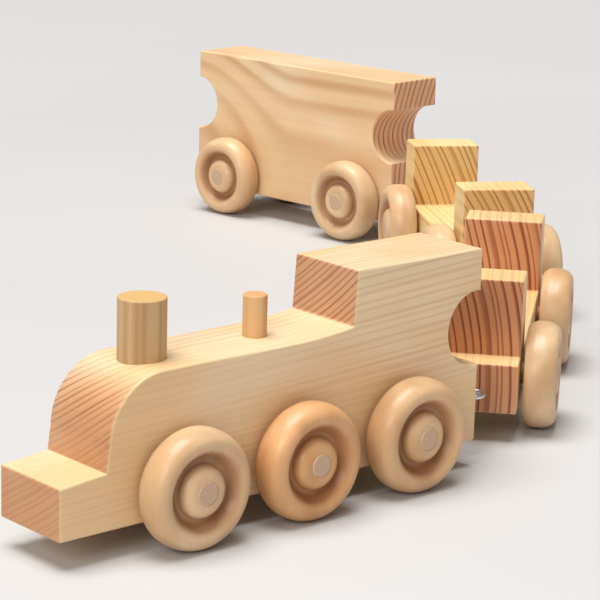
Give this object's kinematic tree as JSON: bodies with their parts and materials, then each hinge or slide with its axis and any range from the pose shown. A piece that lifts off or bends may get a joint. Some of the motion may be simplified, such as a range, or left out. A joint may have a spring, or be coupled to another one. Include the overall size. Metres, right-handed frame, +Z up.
{
  "type": "toy train",
  "caption": "Wooden toy train: a sawn block engine, open cars with end blocks and a boxcar, rolling on turned wheels with dowel axles and joined by wire hooks and eyes.",
  "frame": {"origin": "middle of the train's footprint as it stands in its curve, on the floor", "axes": "+Z up from the floor, the engine points along -X with its left side towards -Y, and the train curves towards +Y behind it"},
  "size_m": [0.5318, 0.516, 0.0983],
  "materials": {
    "engine_pine": "planed softwood, clear satin oil, end grain reddish",
    "front_gondola_pine": "planed softwood, clear satin oil, strong red-brown growth rings",
    "rear_gondola_pine": "planed softwood, clear satin oil, yellow tone",
    "boxcar_pine": "planed softwood, clear satin oil, broad soft growth-ring bands",
    "wheel_birch": "turned hardwood, satin",
    "dowel_birch": "sanded hardwood dowel, matt",
    "zinc_steel": "bright zinc-plated wire"
  },
  "bodies": {
    "engine": {"engine_body": "engine_pine", "engine_hook": "zinc_steel", "engine_smokestack": "dowel_birch", "engine_steam_dome": "dowel_birch"},
    "engine_wheelset_front": {"engine_axle_front": "dowel_birch", "engine_wheel_front_left": "wheel_birch", "engine_wheel_front_right": "wheel_birch"},
    "engine_wheelset_middle": {"engine_axle_middle": "dowel_birch", "engine_wheel_middle_left": "wheel_birch", "engine_wheel_middle_right": "wheel_birch"},
    "engine_wheelset_rear": {"engine_axle_rear": "dowel_birch", "engine_wheel_rear_left": "wheel_birch", "engine_wheel_rear_right": "wheel_birch"},
    "front_gondola": {"front_gondola_body": "front_gondola_pine", "front_gondola_eye": "zinc_steel", "front_gondola_hook": "zinc_steel"},
    "front_gondola_wheelset_front": {"front_gondola_axle_front": "dowel_birch", "front_gondola_wheel_front_left": "wheel_birch", "front_gondola_wheel_front_right": "wheel_birch"},
    "front_gondola_wheelset_rear": {"front_gondola_axle_rear": "dowel_birch", "front_gondola_wheel_rear_left": "wheel_birch", "front_gondola_wheel_rear_right": "wheel_birch"},
    "rear_gondola": {"rear_gondola_body": "rear_gondola_pine", "rear_gondola_eye": "zinc_steel", "rear_gondola_hook": "zinc_steel"},
    "rear_gondola_wheelset_front": {"rear_gondola_axle_front": "dowel_birch", "rear_gondola_wheel_front_left": "wheel_birch", "rear_gondola_wheel_front_right": "wheel_birch"},
    "rear_gondola_wheelset_rear": {"rear_gondola_axle_rear": "dowel_birch", "rear_gondola_wheel_rear_left": "wheel_birch", "rear_gondola_wheel_rear_right": "wheel_birch"},
    "boxcar": {"boxcar_body": "boxcar_pine", "boxcar_eye": "zinc_steel"},
    "boxcar_wheelset_front": {"boxcar_axle_front": "dowel_birch", "boxcar_wheel_front_left": "wheel_birch", "boxcar_wheel_front_right": "wheel_birch"},
    "boxcar_wheelset_rear": {"boxcar_axle_rear": "dowel_birch", "boxcar_wheel_rear_left": "wheel_birch", "boxcar_wheel_rear_right": "wheel_birch"}
  },
  "joints": [
    {"name": "engine_front_axle_spin", "type": "hinge", "parent": "engine", "child": "engine_wheelset_front", "pos_m": [-0.20934, -0.2222, 0.024], "axis": [0, 1, 0], "continuous": true},
    {"name": "engine_middle_axle_spin", "type": "hinge", "parent": "engine", "child": "engine_wheelset_middle", "pos_m": [-0.15234, -0.2222, 0.024], "axis": [0, 1, 0], "continuous": true},
    {"name": "engine_rear_axle_spin", "type": "hinge", "parent": "engine", "child": "engine_wheelset_rear", "pos_m": [-0.09394, -0.2222, 0.024], "axis": [0, 1, 0], "continuous": true},
    {"name": "front_gondola_front_axle_spin", "type": "hinge", "parent": "front_gondola", "child": "front_gondola_wheelset_front", "pos_m": [-0.00204, -0.19581, 0.024], "axis": [-0.6374, 0.7705, 0], "continuous": true},
    {"name": "front_gondola_rear_axle_spin", "type": "hinge", "parent": "front_gondola", "child": "front_gondola_wheelset_rear", "pos_m": [0.08002, -0.12792, 0.024], "axis": [-0.6374, 0.7705, 0], "continuous": true},
    {"name": "rear_gondola_front_axle_spin", "type": "hinge", "parent": "rear_gondola", "child": "rear_gondola_wheelset_front", "pos_m": [0.14588, -0.05648, 0.024], "axis": [-0.848, 0.5299, 0], "continuous": true},
    {"name": "rear_gondola_rear_axle_spin", "type": "hinge", "parent": "rear_gondola", "child": "rear_gondola_wheelset_rear", "pos_m": [0.20232, 0.03384, 0.024], "axis": [-0.848, 0.5299, 0], "continuous": true},
    {"name": "boxcar_front_axle_spin", "type": "hinge", "parent": "boxcar", "child": "boxcar_wheelset_front", "pos_m": [0.22884, 0.12191, 0.024], "axis": [-0.9957, -0.0924, 0], "continuous": true},
    {"name": "boxcar_rear_axle_spin", "type": "hinge", "parent": "boxcar", "child": "boxcar_wheelset_rear", "pos_m": [0.21955, 0.22198, 0.024], "axis": [-0.9957, -0.0924, 0], "continuous": true},
    {"name": "front_gondola_coupling_swing", "type": "hinge", "parent": "engine", "child": "front_gondola", "pos_m": [-0.03394, -0.2222, 0.0238], "axis": [0, 0, 1], "range_deg": [-99.6, 20.4]},
    {"name": "rear_gondola_coupling_swing", "type": "hinge", "parent": "front_gondola", "child": "rear_gondola", "pos_m": [0.12394, -0.09159, 0.0238], "axis": [0, 0, 1], "range_deg": [-78.4, 41.6]},
    {"name": "boxcar_coupling_swing", "type": "hinge", "parent": "rear_gondola", "child": "boxcar", "pos_m": [0.23252, 0.08218, 0.0238], "axis": [0, 0, 1], "range_deg": [-97.3, 22.7]}
  ]
}
